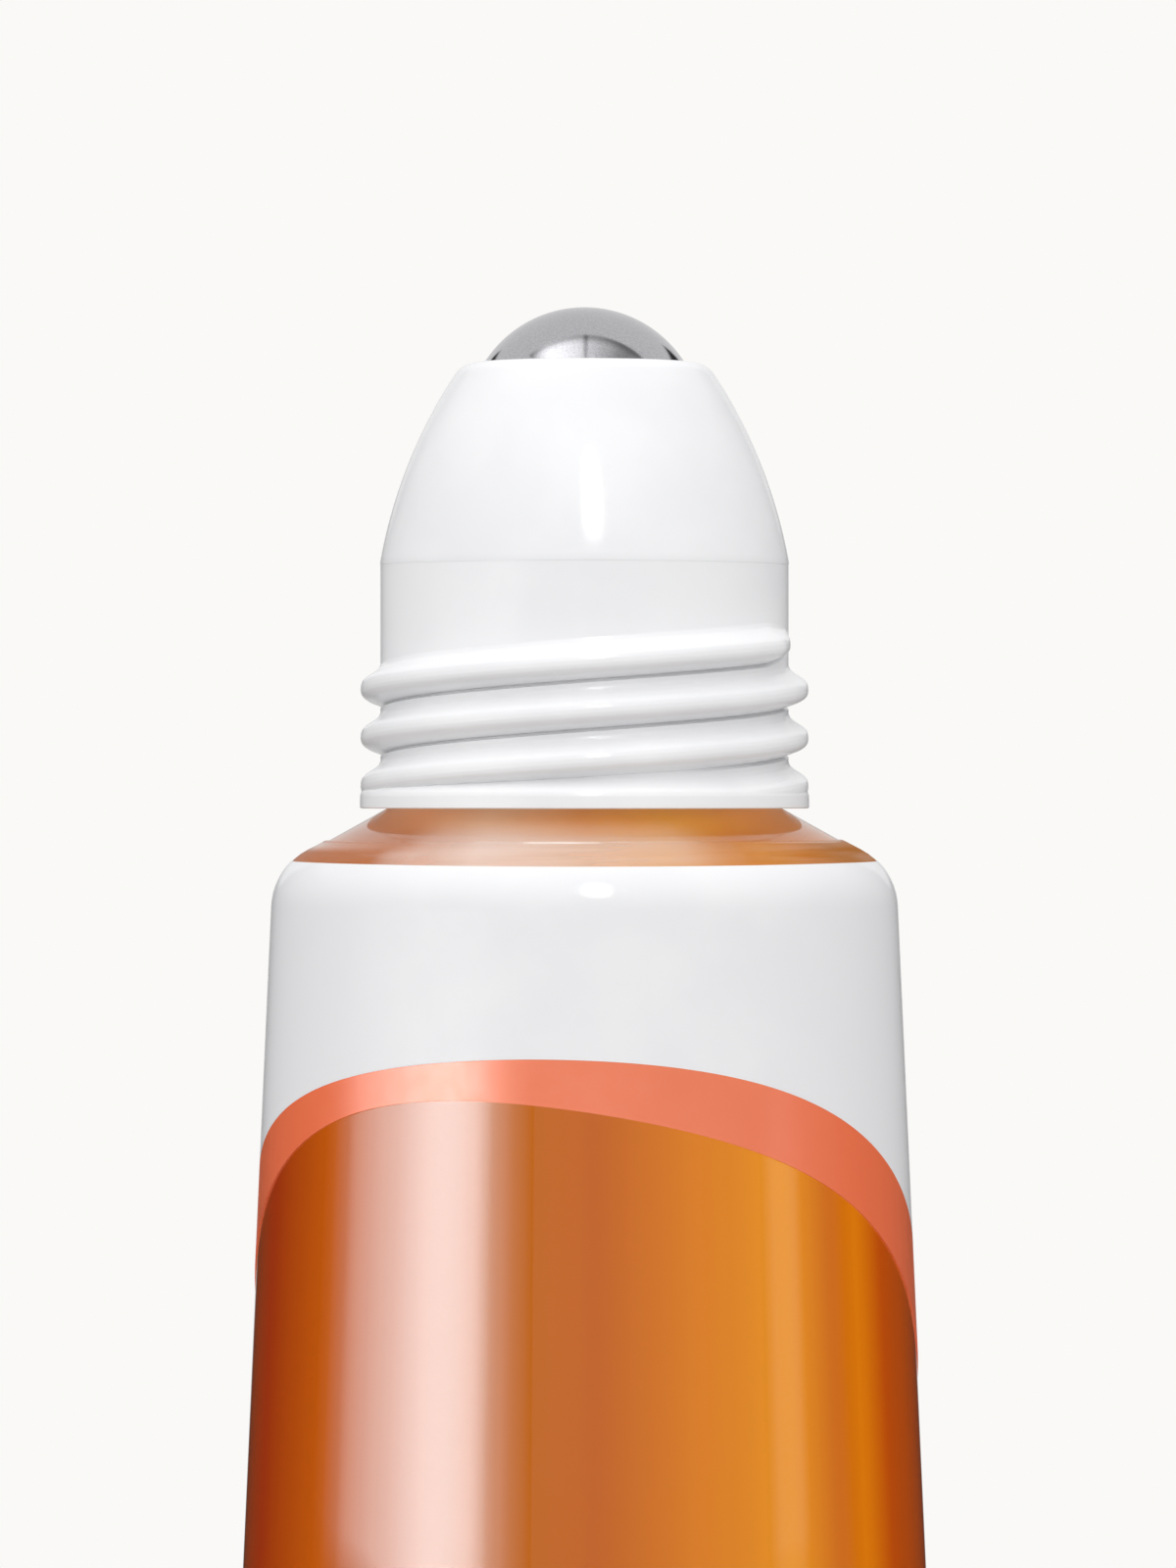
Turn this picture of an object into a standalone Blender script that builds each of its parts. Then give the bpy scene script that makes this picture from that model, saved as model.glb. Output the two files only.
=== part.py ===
"""Roll-on cuticle oil bottle, uncapped: clear bottle, oil, white fitment and sprung steel ball.

Metres, +Z up. The origin is the middle of the underside, the axis is Z, and the front of the
print faces -Y. A turn about the axis is counted from the front towards +X.
"""

import math

import bmesh
import bpy

# Clear bottle, from the collar's seat down
BODY_HEIGHT = 0.045
SHOULDER_TOP_RADIUS = 0.00795
SHOULDER_EDGE_RADIUS = 0.01246
SHOULDER_DROP = 0.00236
SHOULDER_ROUND = 0.0027
BASE_RADIUS = 0.01436
BASE_ROUND = 0.0018
WALL = 0.0019
BASE_THICKNESS = 0.005
INNER_ROUND = 0.0022
PUNT_DEPTH = 0.0004
FOOT_WIDTH = 0.0025

# Neck, inside the collar
NECK_RADIUS = 0.0062
NECK_BORE_RADIUS = 0.0052
NECK_BEAD_DEPTH = 0.0004
NECK_BEAD_HEIGHT = 0.0010
NECK_BEAD_DROP = 0.0020

# Threaded collar
COLLAR_RADIUS = 0.0082
COLLAR_HEIGHT = 0.00978
COLLAR_LEAD_IN = 0.0003
FLANGE_RADIUS = 0.00903
FLANGE_HEIGHT = 0.00083
FLANGE_ROUND = 0.00015
THREAD_RADIUS = 0.0090
THREAD_LEAD = 0.00387
THREAD_CREST = 0.00058
THREAD_LOWER_RUN = 0.00038
THREAD_UPPER_RUN = 0.00062
THREAD_ROOT_DEPTH = 0.0004
THREAD_FRONT_RISE = 0.00181
THREAD_TOP_RISE = 0.00668
THREAD_STARTS = 2
THREAD_FADE_TURNS = 0.10

# Ball housing: a pointed dome over a spigot and a plug that go down the collar and neck
DOME_BASE_RADIUS = 0.00825
OGIVE_RADIUS = 0.0202
OGIVE_LEAN = math.radians(10.1)
RIM_ROUND = 0.0010
SPIGOT_RADIUS = 0.00645
SPIGOT_DEPTH = 0.00228
SPIGOT_BEAD_DEPTH = 0.0004
SPIGOT_BEAD_HEIGHT = 0.0007
HOUSING_FLOOR = 0.00114
PLUG_RADIUS = 0.00485
PLUG_BORE_RADIUS = 0.0036
PLUG_LENGTH = 0.0056
PLUG_LEAD_IN = 0.0003

# Steel ball and the sprung cup under it
BALL_RADIUS = 0.0047625
BALL_DEPTH_BELOW_RIM = 0.00252
BALL_CLEARANCE = 0.00012
PRESS_TRAVEL = 0.0005
SEAT_RADIUS = 0.0046
SEAT_FLOOR = 0.0009
SEAT_RIM_DROP = 0.0026
SEAT_CLEARANCE = 0.00015
SEAT_FOOT_ROUND = 0.0004
STEM_RADIUS = 0.0013
STEM_LENGTH = 0.0035
FLOW_SLOT_WIDTH = 0.0010
FLOW_SLOT_DEPTH = 0.0009
FLOW_SLOTS = 4

# Coil spring and the plate that it stands on
SPRING_RADIUS = 0.0025
SPRING_WIRE_RADIUS = 0.00022
SPRING_TURNS = 5
SPRING_END_GAP = 0.00015
PLATE_THICKNESS = 0.0009
BOSS_HEIGHT = 0.0013
BOSS_LEAD_IN = 0.0002
ORIFICE_RADIUS = 0.0007
PORT_RADIUS = 0.0004
PORT_CIRCLE_RADIUS = 0.00155
PORTS = 4

# Sealing washer and oil
WASHER_THICKNESS = 0.0008
OIL_HEADSPACE = 0.0005

# Printed skins: a white field and a stripe under it, both with edges that swing once round
PRINT_THICKNESS = 0.00008
PRINT_TOP_DROP = 0.00223
FIELD_EDGE_SHARES = (0.3918, 0.2102, 0.0337)
FIELD_EDGE_TURNS = (math.radians(-9.4), math.radians(-10.1))
STRIPE_EDGE_SHARES = (0.5062, 0.3013, 0.0530)
STRIPE_EDGE_TURNS = (math.radians(-7.4), math.radians(0.9))

# Fits and gaps
FIT = 0.0003
SEAM = 0.00012
PRINT_GAP = 0.00005
CUT_OVERRUN = 0.001
MERGE = 0.000001

# Counts that set how fine the round shapes are
SEGMENTS = 48
ARC_STEPS = 3
OGIVE_STEPS = 7
SOCKET_STEPS = 4
BALL_SEGMENTS = 32
BALL_RINGS = 16
THREAD_STEPS_PER_TURN = 36
SPRING_POINTS_PER_TURN = 10
HOLE_SIDES = 12

FULL_TURN = 2 * math.pi
SHARP_ANGLE = math.radians(35)

# Heights that several pieces share, from the collar's seat up to the rim
DOME_FOOT_Z = BODY_HEIGHT + COLLAR_HEIGHT + SEAM
SPIGOT_FOOT_Z = DOME_FOOT_Z - SPIGOT_DEPTH
WASHER_FOOT_Z = SPIGOT_FOOT_Z - FIT - WASHER_THICKNESS
NECK_TOP_Z = WASHER_FOOT_Z - FIT
PLUG_END_Z = SPIGOT_FOOT_Z - PLUG_LENGTH
BOSS_TOP_Z = PLUG_END_Z + BOSS_HEIGHT
PLATE_FOOT_Z = PLUG_END_Z - FIT - PLATE_THICKNESS
BORE_FLOOR_Z = SPIGOT_FOOT_Z + HOUSING_FLOOR
SEAT_FOOT_Z = BORE_FLOOR_Z + FIT + PRESS_TRAVEL
SOCKET_RADIUS = BALL_RADIUS + BALL_CLEARANCE
CUP_RADIUS = BALL_RADIUS + SEAT_CLEARANCE
BALL_Z = SEAT_FOOT_Z + SEAT_FLOOR + CUP_RADIUS
RIM_Z = BALL_Z + BALL_DEPTH_BELOW_RIM
NECK_BEAD_Z = NECK_TOP_Z - NECK_BEAD_DROP
SPIGOT_BEAD_Z = (SPIGOT_FOOT_Z + DOME_FOOT_Z) / 2


def collection(name):
    """A new collection in the scene."""
    made = bpy.data.collections.new(name)
    bpy.context.scene.collection.children.link(made)
    return made


def material(name, colour, roughness, metallic=0, transmission=0):
    """A Principled material in one plain finish."""
    made = bpy.data.materials.new(name)
    made.use_nodes = True
    shader = made.node_tree.nodes["Principled BSDF"]
    shader.inputs["Base Color"].default_value = (*colour, 1)
    shader.inputs["Roughness"].default_value = roughness
    shader.inputs["Metallic"].default_value = metallic
    shader.inputs["Transmission Weight"].default_value = transmission
    made.diffuse_color = (*colour, 1)
    made.roughness = roughness
    made.metallic = metallic
    return made


def add_object(name, data, home, finish=None):
    """An object for this data, in the home collection."""
    made = bpy.data.objects.new(name, data)
    home.objects.link(made)
    if finish:
        data.materials.append(finish)
    return made


def mesh_from(bm, name):
    """The bmesh as mesh data, smooth but for its sharp edges."""
    mesh = bpy.data.meshes.new(name)
    bm.to_mesh(mesh)
    bm.free()
    mesh.shade_smooth()
    mesh.set_sharp_from_angle(angle=SHARP_ANGLE)
    return mesh


def rounded(corners):
    """Points of an open outline of corners (radius, height, fillet), with its fillets as arcs."""
    points = [corners[0][:2]]
    for before, (x, z, fillet), after in zip(corners, corners[1:], corners[2:]):
        if not fillet:
            points.append((x, z))
            continue
        to_before = math.atan2(before[1] - z, before[0] - x)
        to_after = math.atan2(after[1] - z, after[0] - x)
        opening = (to_after - to_before + math.pi) % FULL_TURN - math.pi
        reach = fillet / math.tan(abs(opening) / 2)
        to_centre = to_before + opening / 2
        centre_reach = fillet / math.sin(abs(opening) / 2)
        centre_x = x + centre_reach * math.cos(to_centre)
        centre_z = z + centre_reach * math.sin(to_centre)
        start_x = x + reach * math.cos(to_before)
        start_z = z + reach * math.sin(to_before)
        start = math.atan2(start_z - centre_z, start_x - centre_x)
        sweep = math.copysign(math.pi - abs(opening), -opening)
        points += arc((centre_x, centre_z), fillet, start, start + sweep, ARC_STEPS)
    return points + [corners[-1][:2]]


def arc(centre, radius, start, end, steps):
    """Points along an arc, from one angle to the other."""
    angles = [start + (end - start) * step / steps for step in range(steps + 1)]
    return [(centre[0] + radius * math.cos(a), centre[1] + radius * math.sin(a)) for a in angles]


def turned(name, points, home, finish=None, ring=False):
    """A solid turned round Z from an outline that runs down its outer side.

    A ring's outline closes on itself; any other starts and ends on the axis.
    """
    bm = bmesh.new()
    verts = [bm.verts.new((x, 0, z)) for x, z in points]
    for first, second in zip(verts, verts[1:]):
        bm.edges.new((first, second))
    if ring:
        bm.edges.new((verts[-1], verts[0]))
    made = add_object(name, mesh_from(bm, name), home, finish)
    screw = made.modifiers.new("turn", "SCREW")
    screw.steps = SEGMENTS
    screw.render_steps = SEGMENTS
    screw.use_merge_vertices = True
    screw.merge_threshold = MERGE
    return made


def settle(made):
    """Applies the modifiers and keeps the edges crisp where faces meet steeply."""
    graph = bpy.context.evaluated_depsgraph_get()
    mesh = bpy.data.meshes.new_from_object(made.evaluated_get(graph))
    made.modifiers.clear()
    made.data = mesh
    mesh.shade_smooth()
    mesh.set_sharp_from_angle(angle=SHARP_ANGLE)
    return made


def cut(made, cutter, operation="DIFFERENCE"):
    """Adds an exact Boolean with the cutter, which is shown only as wire."""
    cutter.hide_render = True
    cutter.display_type = "WIRE"
    boolean = made.modifiers.new(cutter.name, "BOOLEAN")
    boolean.operation = operation
    boolean.object = cutter


def rod(name, radius, low, high, home, at=(0, 0), sides=HOLE_SIDES):
    """An upright cylinder between two heights, for a cut."""
    bm = bmesh.new()
    bmesh.ops.create_cone(
        bm, cap_ends=True, segments=sides, radius1=radius, radius2=radius, depth=high - low
    )
    bmesh.ops.translate(bm, verts=bm.verts, vec=(*at, (low + high) / 2))
    return add_object(name, mesh_from(bm, name), home)


def set_pivot(made, height):
    """Moves the object's origin up the axis to this height and leaves its shape in place."""
    for vert in made.data.vertices:
        vert.co.z -= height
    made.location.z += height


def body_outline():
    """The bottle's outside below the collar: shoulder, flared wall, base corner and foot."""
    return rounded(
        [
            (SHOULDER_TOP_RADIUS, BODY_HEIGHT, 0),
            (SHOULDER_EDGE_RADIUS, BODY_HEIGHT - SHOULDER_DROP, SHOULDER_ROUND),
            (BASE_RADIUS, 0, BASE_ROUND),
            (BASE_RADIUS - BASE_ROUND - FOOT_WIDTH, 0, 0),
        ]
    )


def cavity_outline(inset):
    """The bottle's inside from the mouth down to the floor, drawn in for what fills it."""
    wall_height = BODY_HEIGHT - SHOULDER_DROP
    flare = (BASE_RADIUS - SHOULDER_EDGE_RADIUS) / wall_height
    slope = SHOULDER_DROP / (SHOULDER_EDGE_RADIUS - SHOULDER_TOP_RADIUS)
    wall = WALL + inset
    neck = NECK_BORE_RADIUS - inset
    floor_z = BASE_THICKNESS + inset
    edge_z = wall_height - wall
    edge = BASE_RADIUS - flare * edge_z - wall
    return rounded(
        [
            (neck, NECK_TOP_Z, 0),
            (neck, edge_z + slope * (edge - neck), 0),
            (edge, edge_z, INNER_ROUND),
            (BASE_RADIUS - flare * floor_z - wall, floor_z, INNER_ROUND),
            (0, floor_z, 0),
        ]
    )


def build_bottle(home, finish):
    """The thick-walled bottle, with its neck, snap bead and recessed underside."""
    half_bead = NECK_BEAD_HEIGHT / 2
    neck = [
        (NECK_RADIUS, NECK_TOP_Z),
        (NECK_RADIUS, NECK_BEAD_Z + half_bead),
        (NECK_RADIUS + NECK_BEAD_DEPTH, NECK_BEAD_Z),
        (NECK_RADIUS, NECK_BEAD_Z - half_bead),
        (NECK_RADIUS, BODY_HEIGHT),
    ]
    punt_radius = BASE_RADIUS - BASE_ROUND - FOOT_WIDTH - PUNT_DEPTH
    punt = [(punt_radius, PUNT_DEPTH), (0, PUNT_DEPTH)]
    inside = list(reversed(cavity_outline(0)))
    return settle(turned("bottle_body", inside + neck + body_outline() + punt, home, finish))


def build_oil(home, cutters, finish):
    """The oil, as the shape of the cavity up to its level in the neck."""
    oil = turned("oil_fill", [(0, NECK_TOP_Z)] + cavity_outline(FIT), home, finish)
    level = PLATE_FOOT_Z - OIL_HEADSPACE
    cut(oil, rod("oil_level_cut", BASE_RADIUS, level, NECK_TOP_Z + CUT_OVERRUN, cutters))
    return settle(oil)


def thread_section():
    """The ridge's section as (share of its full height, rise from the crest's middle)."""
    wall_share = THREAD_ROOT_DEPTH / (THREAD_ROOT_DEPTH + THREAD_RADIUS - COLLAR_RADIUS)
    half = THREAD_CREST / 2
    foot = -half - THREAD_LOWER_RUN
    head = half + THREAD_UPPER_RUN
    cove_share = (1 + 2 * wall_share) / 3
    return [
        (0, foot),
        (wall_share, foot),
        (1, -half),
        (1, half),
        (cove_share, half + THREAD_UPPER_RUN / 2),
        (wall_share, head),
        (0, head),
    ]


def build_thread_ridge(name, start, home):
    """One start of the thread, lofted up its helix and run out into the collar's wall on top."""
    section = thread_section()
    foot_rise = -THREAD_CREST / 2 - THREAD_UPPER_RUN
    turns = (THREAD_TOP_RISE - foot_rise) / THREAD_LEAD
    steps = math.ceil(turns * THREAD_STEPS_PER_TURN)
    root = COLLAR_RADIUS - THREAD_ROOT_DEPTH
    buried_share = THREAD_ROOT_DEPTH / (THREAD_ROOT_DEPTH + THREAD_RADIUS - COLLAR_RADIUS) / 2
    bm = bmesh.new()
    rings = []
    for step in range(steps + 1):
        turned_so_far = turns * step / steps
        rise = foot_rise + THREAD_LEAD * turned_so_far
        angle = FULL_TURN * ((rise - THREAD_FRONT_RISE) / THREAD_LEAD + start / THREAD_STARTS)
        fade = max(min((turns - turned_so_far) / THREAD_FADE_TURNS, 1), buried_share)
        ring = []
        for share, offset in section:
            radius = root + (THREAD_RADIUS - root) * share * fade
            z = BODY_HEIGHT + rise + offset
            ring.append(bm.verts.new((radius * math.sin(angle), -radius * math.cos(angle), z)))
        rings.append(ring)
    for low, high in zip(rings, rings[1:]):
        for index in range(len(section)):
            bm.faces.new((low[index - 1], low[index], high[index], high[index - 1]))
    bm.faces.new(rings[0])
    bm.faces.new(rings[-1])
    bmesh.ops.recalc_face_normals(bm, faces=bm.faces)
    return add_object(name, mesh_from(bm, name), home)


def build_collar(home, cutters, finish):
    """The collar that snaps on the neck, holds the dome and carries the cap's thread."""
    top = BODY_HEIGHT + COLLAR_HEIGHT
    neck_bore = NECK_RADIUS + FIT
    spigot_bore = SPIGOT_RADIUS + FIT
    step_z = NECK_TOP_Z + FIT
    outside = rounded(
        [
            (spigot_bore, top, 0),
            (COLLAR_RADIUS, top, 0),
            (COLLAR_RADIUS, BODY_HEIGHT + FLANGE_HEIGHT, 0),
            (FLANGE_RADIUS, BODY_HEIGHT + FLANGE_HEIGHT, FLANGE_ROUND),
            (FLANGE_RADIUS, BODY_HEIGHT + SEAM, FLANGE_ROUND),
            (neck_bore + COLLAR_LEAD_IN, BODY_HEIGHT + SEAM, 0),
        ]
    )
    inside = [(neck_bore, BODY_HEIGHT + SEAM + COLLAR_LEAD_IN)]
    inside += groove(neck_bore, NECK_BEAD_Z, NECK_BEAD_HEIGHT, NECK_BEAD_DEPTH)
    inside += [(neck_bore, step_z), (spigot_bore, step_z)]
    inside += groove(spigot_bore, SPIGOT_BEAD_Z, SPIGOT_BEAD_HEIGHT, SPIGOT_BEAD_DEPTH)
    collar = turned("threaded_collar", outside + inside, home, finish, ring=True)
    trim = rod("thread_trim", BASE_RADIUS, 0, BODY_HEIGHT + FLANGE_HEIGHT / 2, cutters, sides=SEGMENTS)
    for start in range(THREAD_STARTS):
        ridge = build_thread_ridge(f"thread_ridge_{start + 1}", start, cutters)
        cut(ridge, trim)
        cut(collar, ridge, "UNION")
    return settle(collar)


def groove(bore, middle, bead_height, depth):
    """A groove up the inside of a bore, with room for a bead of this height and depth."""
    half = bead_height / 2
    return [
        (bore, middle - half - FIT),
        (bore + depth, middle - FIT),
        (bore + depth, middle + FIT),
        (bore, middle + half + FIT),
    ]


def build_dome(home, finish):
    """The ball housing: rim, ogive, snap spigot, plug, and the stepped bore through it."""
    centre_x = DOME_BASE_RADIUS - OGIVE_RADIUS * math.cos(OGIVE_LEAN)
    centre_z = DOME_FOOT_Z - OGIVE_RADIUS * math.sin(OGIVE_LEAN)
    rim_lean = math.asin((RIM_Z - centre_z) / OGIVE_RADIUS)
    ogive = arc((centre_x, centre_z), OGIVE_RADIUS, rim_lean, OGIVE_LEAN, OGIVE_STEPS)
    lip_angle = math.asin(BALL_DEPTH_BELOW_RIM / SOCKET_RADIUS)
    socket = arc((0, BALL_Z), SOCKET_RADIUS, 0, lip_angle, SOCKET_STEPS)
    half_bead = SPIGOT_BEAD_HEIGHT / 2
    outside = rounded(
        [(*socket[-1], 0), (*ogive[0], RIM_ROUND)] + [(*point, 0) for point in ogive[1:]]
    )
    inside = [
        (SPIGOT_RADIUS, DOME_FOOT_Z),
        (SPIGOT_RADIUS, SPIGOT_BEAD_Z + half_bead),
        (SPIGOT_RADIUS + SPIGOT_BEAD_DEPTH, SPIGOT_BEAD_Z),
        (SPIGOT_RADIUS, SPIGOT_BEAD_Z - half_bead),
        (SPIGOT_RADIUS, SPIGOT_FOOT_Z),
        (PLUG_RADIUS, SPIGOT_FOOT_Z),
        (PLUG_RADIUS, PLUG_END_Z + PLUG_LEAD_IN),
        (PLUG_RADIUS - PLUG_LEAD_IN, PLUG_END_Z),
        (PLUG_BORE_RADIUS, PLUG_END_Z),
        (PLUG_BORE_RADIUS, BORE_FLOOR_Z),
        (SOCKET_RADIUS, BORE_FLOOR_Z),
    ]
    return settle(turned("roller_dome", outside + inside + socket[:-1], home, finish, ring=True))


def build_seat(home, cutters, finish):
    """The cup that the ball rolls in, with flow slots in its rim and a stem for the spring."""
    rim_angle = -math.asin(SEAT_RIM_DROP / CUP_RADIUS)
    cup = arc((0, BALL_Z), CUP_RADIUS, -math.pi / 2, rim_angle, SOCKET_STEPS)
    below = rounded(
        [
            (SEAT_RADIUS, BALL_Z - SEAT_RIM_DROP, 0),
            (SEAT_RADIUS, SEAT_FOOT_Z, SEAT_FOOT_ROUND),
            (STEM_RADIUS, SEAT_FOOT_Z, 0),
            (STEM_RADIUS, SEAT_FOOT_Z - STEM_LENGTH, 0),
            (0, SEAT_FOOT_Z - STEM_LENGTH, 0),
        ]
    )
    seat = turned("ball_seat", cup + below, home, finish)
    set_pivot(seat, SEAT_FOOT_Z)
    for index in range(FLOW_SLOTS):
        slot = build_flow_slot(f"flow_slot_{index + 1}", cutters)
        slot.rotation_euler.z = FULL_TURN * (index + 1 / 2) / FLOW_SLOTS
        cut(seat, slot)
    return settle(seat)


def build_flow_slot(name, home):
    """A box that cuts one slot up the rim of the cup, on its +X side."""
    low = SEAT_FOOT_Z - CUT_OVERRUN
    high = BALL_Z - SEAT_RIM_DROP + CUT_OVERRUN
    bm = bmesh.new()
    bmesh.ops.create_cube(bm, size=1)
    length = FLOW_SLOT_DEPTH + CUT_OVERRUN
    bmesh.ops.scale(bm, verts=bm.verts, vec=(length, FLOW_SLOT_WIDTH, high - low))
    middle = SEAT_RADIUS - FLOW_SLOT_DEPTH + length / 2
    bmesh.ops.translate(bm, verts=bm.verts, vec=(middle, 0, (low + high) / 2))
    return add_object(name, mesh_from(bm, name), home)


def build_ball(home, finish, seat):
    """The steel ball, which rolls on the seat and is carried by it."""
    bm = bmesh.new()
    bmesh.ops.create_uvsphere(
        bm, u_segments=BALL_SEGMENTS, v_segments=BALL_RINGS, radius=BALL_RADIUS
    )
    ball = add_object("roller_ball", mesh_from(bm, "roller_ball"), home, finish)
    ball.parent = seat
    ball.location.z = BALL_Z - SEAT_FOOT_Z
    return ball


def build_spring(home, finish):
    """The compression spring that presses the seat and ball up against the rim."""
    low = BOSS_TOP_Z + SPRING_END_GAP + SPRING_WIRE_RADIUS
    high = SEAT_FOOT_Z - SPRING_END_GAP - SPRING_WIRE_RADIUS
    count = SPRING_TURNS * SPRING_POINTS_PER_TURN + 1
    curve = bpy.data.curves.new("seat_spring", "CURVE")
    curve.dimensions = "3D"
    curve.bevel_depth = SPRING_WIRE_RADIUS
    curve.bevel_resolution = 1
    curve.use_fill_caps = True
    spline = curve.splines.new("POLY")
    spline.points.add(count - 1)
    for index, point in enumerate(spline.points):
        share = index / (count - 1)
        angle = FULL_TURN * SPRING_TURNS * share
        x = SPRING_RADIUS * math.cos(angle)
        y = SPRING_RADIUS * math.sin(angle)
        point.co = (x, y, low + (high - low) * share, 1)
    return add_object("seat_spring", curve, home, finish)


def build_plate(home, cutters, finish):
    """The plate and boss that close the plug, hold the spring and let the oil through."""
    boss_radius = PLUG_BORE_RADIUS - FIT
    plate_top = PLUG_END_Z - FIT
    outline = [
        (ORIFICE_RADIUS, BOSS_TOP_Z),
        (boss_radius - BOSS_LEAD_IN, BOSS_TOP_Z),
        (boss_radius, BOSS_TOP_Z - BOSS_LEAD_IN),
        (boss_radius, plate_top),
        (PLUG_RADIUS, plate_top),
        (PLUG_RADIUS, PLATE_FOOT_Z),
        (ORIFICE_RADIUS, PLATE_FOOT_Z),
    ]
    plate = turned("flow_plate", outline, home, finish, ring=True)
    low = PLATE_FOOT_Z - CUT_OVERRUN
    high = BOSS_TOP_Z + CUT_OVERRUN
    for index in range(PORTS):
        angle = FULL_TURN * index / PORTS
        at = (PORT_CIRCLE_RADIUS * math.cos(angle), PORT_CIRCLE_RADIUS * math.sin(angle))
        cut(plate, rod(f"flow_port_{index + 1}", PORT_RADIUS, low, high, cutters, at))
    return settle(plate)


def build_washer(home, finish):
    """The sealing washer between the neck's lip and the dome's spigot."""
    inner = PLUG_RADIUS + FIT
    top = WASHER_FOOT_Z + WASHER_THICKNESS
    outline = [(inner, top), (NECK_RADIUS, top), (NECK_RADIUS, WASHER_FOOT_Z), (inner, WASHER_FOOT_Z)]
    return settle(turned("sealing_washer", outline, home, finish, ring=True))


def print_edge(shares, turns, turn):
    """Height of a printed edge at this turn from the front: a mean, a swing and a half swing."""
    mean, swing, half_swing = (share * BODY_HEIGHT for share in shares)
    first, second = turns
    drop = mean - swing * math.cos(turn - first) + half_swing * math.cos(2 * (turn - second))
    return BODY_HEIGHT - drop


def field_edge(turn):
    """Height of the white field's lower edge."""
    return print_edge(FIELD_EDGE_SHARES, FIELD_EDGE_TURNS, turn)


def stripe_edge(turn):
    """Height of the stripe's lower edge."""
    return print_edge(STRIPE_EDGE_SHARES, STRIPE_EDGE_TURNS, turn)


def radius_at(outline, height):
    """The outline's radius at this height, along its straight steps."""
    for (high_x, high_z), (low_x, low_z) in zip(outline, outline[1:]):
        if low_z <= height <= high_z and high_z > low_z:
            return low_x + (high_x - low_x) * (height - low_z) / (high_z - low_z)
    raise ValueError("the printed skin runs off the bottle's outside")


def build_skin(name, rows, home, finish):
    """A printed skin on the bottle's outside, through rows that give a height for each turn."""
    outline = body_outline()
    bm = bmesh.new()
    rings = []
    for row in rows:
        ring = []
        for index in range(SEGMENTS):
            turn = FULL_TURN * index / SEGMENTS
            z = row(turn)
            radius = radius_at(outline, z) + PRINT_GAP
            ring.append(bm.verts.new((radius * math.sin(turn), -radius * math.cos(turn), z)))
        rings.append(ring)
    for high, low in zip(rings, rings[1:]):
        for index in range(SEGMENTS):
            bm.faces.new((high[index - 1], low[index - 1], low[index], high[index]))
    skin = add_object(name, mesh_from(bm, name), home, finish)
    solid = skin.modifiers.new("thickness", "SOLIDIFY")
    solid.thickness = PRINT_THICKNESS
    solid.offset = 1
    return skin


def build_white_field(home, finish):
    """The white field, from the shoulder's edge down to the stripe."""
    top = BODY_HEIGHT - PRINT_TOP_DROP
    lowest_bend = BODY_HEIGHT - 2 * SHOULDER_DROP
    bends = [z for x, z in body_outline() if lowest_bend < z < top]
    rows = [lambda turn, z=z: z for z in [top] + bends]
    return build_skin("white_print", rows + [field_edge], home, finish)


def build_stripe(home, finish):
    """The stripe that follows the white field's edge, wider on the right."""

    def upper(turn):
        return field_edge(turn) - PRINT_GAP

    return build_skin("coral_stripe", [upper, stripe_edge], home, finish)


def main():
    for existing in list(bpy.data.objects):
        bpy.data.objects.remove(existing, do_unlink=True)
    home = collection("cuticle_oil_bottle")
    cutters = collection("cutters")
    clear = material("clear_plastic", (0.90, 0.84, 0.78), 0.05, transmission=1)
    oil = material("orange_oil", (0.60, 0.17, 0.03), 0.10)
    white = material("white_plastic", (0.86, 0.86, 0.87), 0.35)
    natural = material("natural_plastic", (0.80, 0.80, 0.77), 0.40)
    steel = material("polished_steel", (0.62, 0.62, 0.64), 0.08, metallic=1)
    wire = material("spring_wire", (0.50, 0.50, 0.52), 0.25, metallic=1)
    white_ink = material("white_ink", (0.82, 0.82, 0.83), 0.45)
    coral_ink = material("coral_ink", (0.82, 0.23, 0.13), 0.22)

    build_bottle(home, clear)
    build_oil(home, cutters, oil)
    build_white_field(home, white_ink)
    build_stripe(home, coral_ink)
    build_collar(home, cutters, white)
    build_washer(home, natural)
    build_dome(home, white)
    build_plate(home, cutters, natural)
    build_spring(home, wire)
    seat = build_seat(home, cutters, natural)
    build_ball(home, steel, seat)


main()
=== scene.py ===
"""The dressed scene of the roll-on cuticle oil bottle: finer pieces, materials, light and camera.

Metres, +Z up, in the frame's own coordinates. Rises are counted from the collar's seat up, turns
about the axis from the front (-Y) towards +X.
"""

import math

import bmesh
import bpy
import numpy as np
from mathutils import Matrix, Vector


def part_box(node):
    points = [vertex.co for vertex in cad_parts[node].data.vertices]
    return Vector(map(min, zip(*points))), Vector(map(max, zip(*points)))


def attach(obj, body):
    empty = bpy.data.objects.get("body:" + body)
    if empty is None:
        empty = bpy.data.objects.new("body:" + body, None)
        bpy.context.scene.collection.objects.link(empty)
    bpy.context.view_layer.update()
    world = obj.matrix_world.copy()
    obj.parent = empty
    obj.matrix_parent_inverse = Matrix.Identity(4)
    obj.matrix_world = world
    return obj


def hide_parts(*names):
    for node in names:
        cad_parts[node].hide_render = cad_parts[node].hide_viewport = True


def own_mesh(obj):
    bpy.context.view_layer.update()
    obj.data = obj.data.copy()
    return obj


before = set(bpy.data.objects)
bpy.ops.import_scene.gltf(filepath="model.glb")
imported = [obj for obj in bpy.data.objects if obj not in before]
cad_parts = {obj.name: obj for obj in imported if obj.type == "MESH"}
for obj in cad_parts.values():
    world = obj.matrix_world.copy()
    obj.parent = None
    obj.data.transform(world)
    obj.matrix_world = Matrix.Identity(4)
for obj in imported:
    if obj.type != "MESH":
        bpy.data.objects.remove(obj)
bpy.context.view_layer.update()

FULL_TURN = 2 * math.pi

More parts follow.
